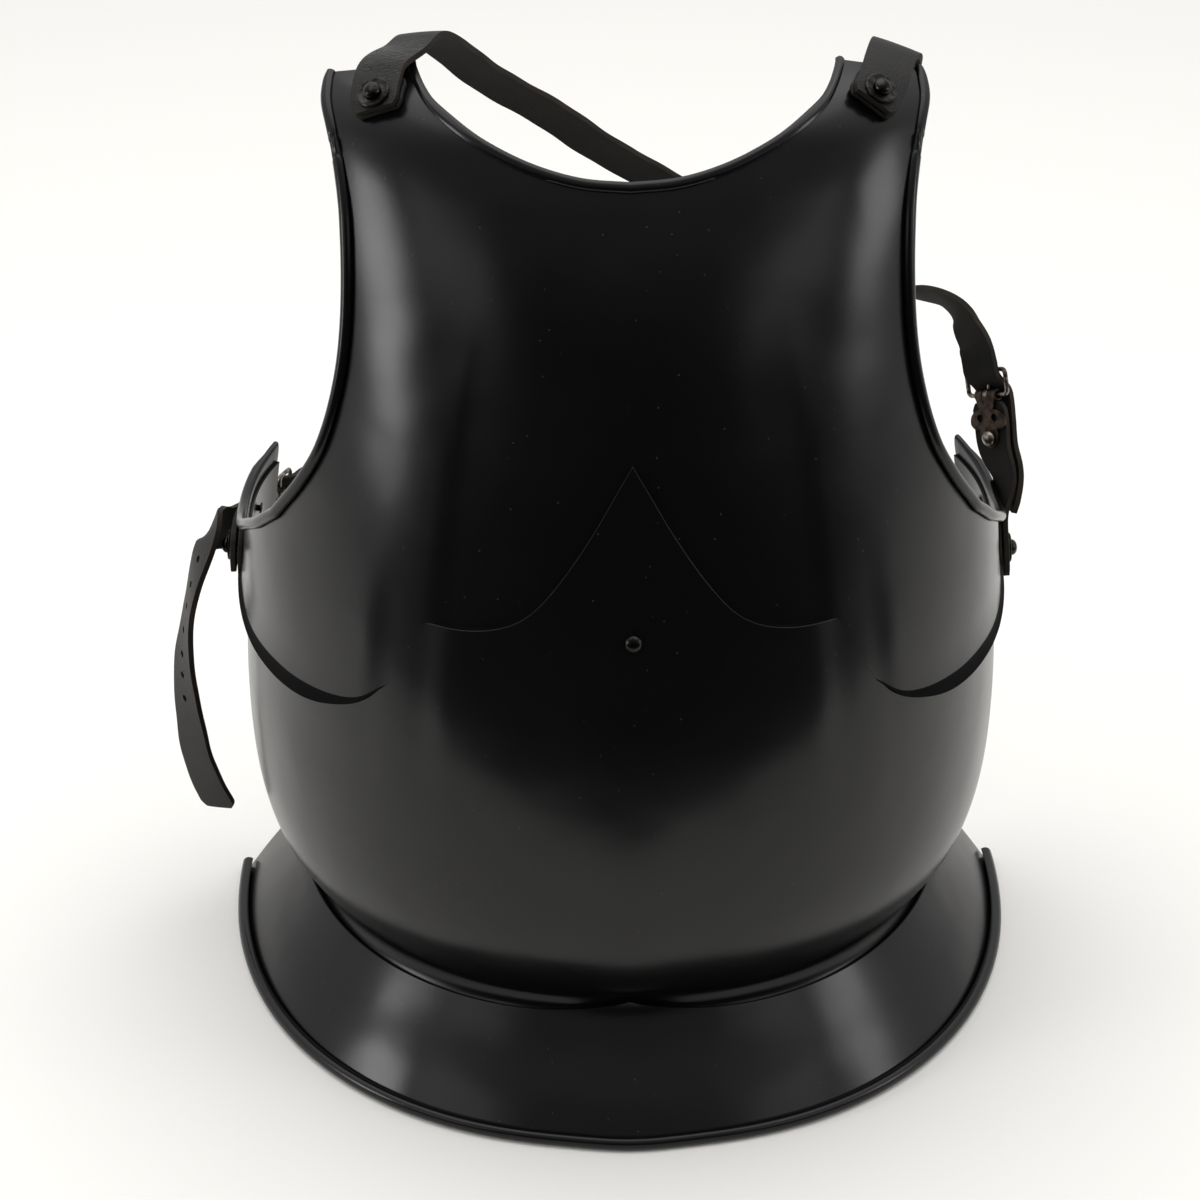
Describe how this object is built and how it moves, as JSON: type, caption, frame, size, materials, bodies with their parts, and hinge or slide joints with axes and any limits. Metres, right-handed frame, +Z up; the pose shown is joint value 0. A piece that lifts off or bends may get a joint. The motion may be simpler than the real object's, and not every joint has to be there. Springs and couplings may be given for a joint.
{
  "type": "steel breastplate",
  "caption": "Blackened steel breastplate with a peaked belly plate, a flared waist skirt, rolled edges and crossed leather straps with buckles, standing on its hem.",
  "frame": {"origin": "under the middle of the object's box, on the floor that the hem stands on", "axes": "+Z up, the chest faces -Y, the wearer's left is +X"},
  "size_m": [0.411, 0.327, 0.4542],
  "materials": {
    "black_steel": "satin black enamel on steel",
    "rivet_steel": "blackened and worn",
    "black_leather": "waxed black leather with a pale flesh side"
  },
  "bodies": {
    "root": {"breast_plate": "black_steel", "belly_plate": "black_steel", "waist_skirt": "black_steel", "centre_rivet": "rivet_steel", "flank_seam_rivet_left": "rivet_steel", "waist_rivet_left": "rivet_steel", "shoulder_rivet_left": "rivet_steel", "flank_rivet_left": "rivet_steel", "shoulder_washer_left": "rivet_steel", "flank_washer_left": "rivet_steel", "buckle_frame_left": "rivet_steel", "buckle_chape_left": "rivet_steel", "buckle_prong_left": "rivet_steel", "buckle_rivet_left": "rivet_steel", "flank_seam_rivet_right": "rivet_steel", "waist_rivet_right": "rivet_steel", "shoulder_rivet_right": "rivet_steel", "flank_rivet_right": "rivet_steel", "shoulder_washer_right": "rivet_steel", "flank_washer_right": "rivet_steel", "buckle_frame_right": "rivet_steel", "buckle_chape_right": "rivet_steel", "buckle_prong_right": "rivet_steel", "buckle_rivet_right": "rivet_steel", "short_strap_left": "black_leather", "long_strap_left": "black_leather", "flank_pad_left": "black_leather", "shoulder_pad_left": "black_leather", "short_strap_right": "black_leather", "long_strap_right": "black_leather", "flank_pad_right": "black_leather", "shoulder_pad_right": "black_leather"}
  },
  "joints": []
}
